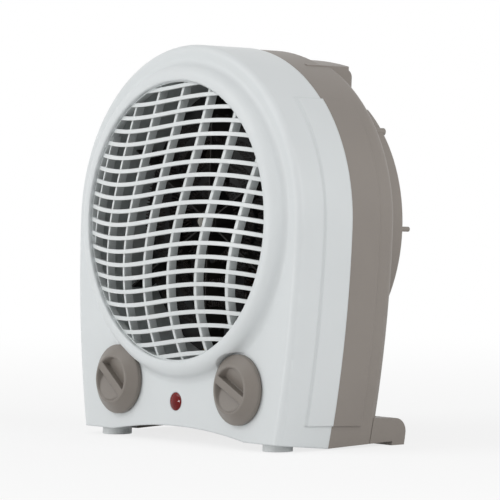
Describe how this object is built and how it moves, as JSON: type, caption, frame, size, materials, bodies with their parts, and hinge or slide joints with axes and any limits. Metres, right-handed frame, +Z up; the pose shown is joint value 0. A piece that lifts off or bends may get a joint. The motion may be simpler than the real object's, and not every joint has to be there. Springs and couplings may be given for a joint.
{
  "type": "ceramic space heater",
  "caption": "Upright arched fan heater with a round domed outlet grille, mode and thermostat dials, a lamp, a rear intake drum and a carrying lip.",
  "frame": {"origin": "middle of the ground rectangle under the whole heater, on the surface it stands on", "axes": "+X to the heater's left as it looks out, which is right in a front view, +Y from the outlet to the back, +Z up"},
  "size_m": [0.2252, 0.132, 0.2508],
  "materials": {
    "white_plastic": "satin moulded, cool white",
    "taupe_plastic": "satin moulded, warm grey",
    "knob_plastic": "satin moulded, warm grey",
    "white_rubber": "matte",
    "black_rubber": "matte",
    "red_lens": "clear red, polished",
    "black_plastic": "moulded",
    "ceramic": "glazed ceramic",
    "duct_steel": "zinc-coated sheet",
    "plated_steel": "bright plated",
    "mica": "pressed mica sheet",
    "resistance_wire": "oxidised",
    "brass": "rolled",
    "lamination": "stacked sheet edges",
    "copper": "enamelled copper wire",
    "lead_insulation": "matte"
  },
  "bodies": {
    "casing": {"front_shell": "white_plastic", "outlet_grille": "white_plastic", "rear_shell": "taupe_plastic", "intake_grille": "taupe_plastic", "front_feet": "white_rubber", "mode_switch_body": "black_plastic", "thermostat_body": "ceramic", "thermostat_blade": "brass", "indicator_lens": "red_lens", "indicator_lamp": "black_plastic", "air_duct": "duct_steel", "fan_shroud": "black_plastic", "mica_frame": "mica", "element_bush": "ceramic", "element_bolt": "plated_steel", "element_nut": "plated_steel", "heater_coils": "resistance_wire", "terminal_tabs": "brass", "thermal_cutout": "black_plastic", "motor_stator": "lamination", "motor_winding": "copper", "motor_front_bracket": "plated_steel", "motor_rear_bracket": "plated_steel", "motor_bearings": "brass", "motor_strap": "duct_steel", "casing_screws": "plated_steel", "switch_screws": "plated_steel", "strap_screws": "plated_steel", "duct_screws": "plated_steel", "terminal_block": "white_plastic", "cord_gland": "black_rubber", "inner_leads": "lead_insulation"},
    "mode_dial": {"mode_knob": "knob_plastic", "mode_spindle": "plated_steel"},
    "thermostat_dial": {"thermostat_knob": "knob_plastic", "thermostat_spindle": "plated_steel"},
    "fan": {"fan_impeller": "black_plastic", "fan_nut": "plated_steel", "motor_shaft": "plated_steel", "motor_rotor": "lamination"}
  },
  "joints": [
    {"name": "mode_turn", "type": "hinge", "parent": "casing", "child": "mode_dial", "pos_m": [-0.06, -0.04725, 0.03712], "axis": [0, 0.9988, -0.048], "range_deg": [-60, 120]},
    {"name": "thermostat_turn", "type": "hinge", "parent": "casing", "child": "thermostat_dial", "pos_m": [0.06, -0.04725, 0.03712], "axis": [0, 0.9988, -0.048], "range_deg": [-135, 135]},
    {"name": "fan_spin", "type": "hinge", "parent": "casing", "child": "fan", "pos_m": [0, 0.00853, 0.13756], "axis": [0, 0.9988, -0.048], "continuous": true}
  ]
}
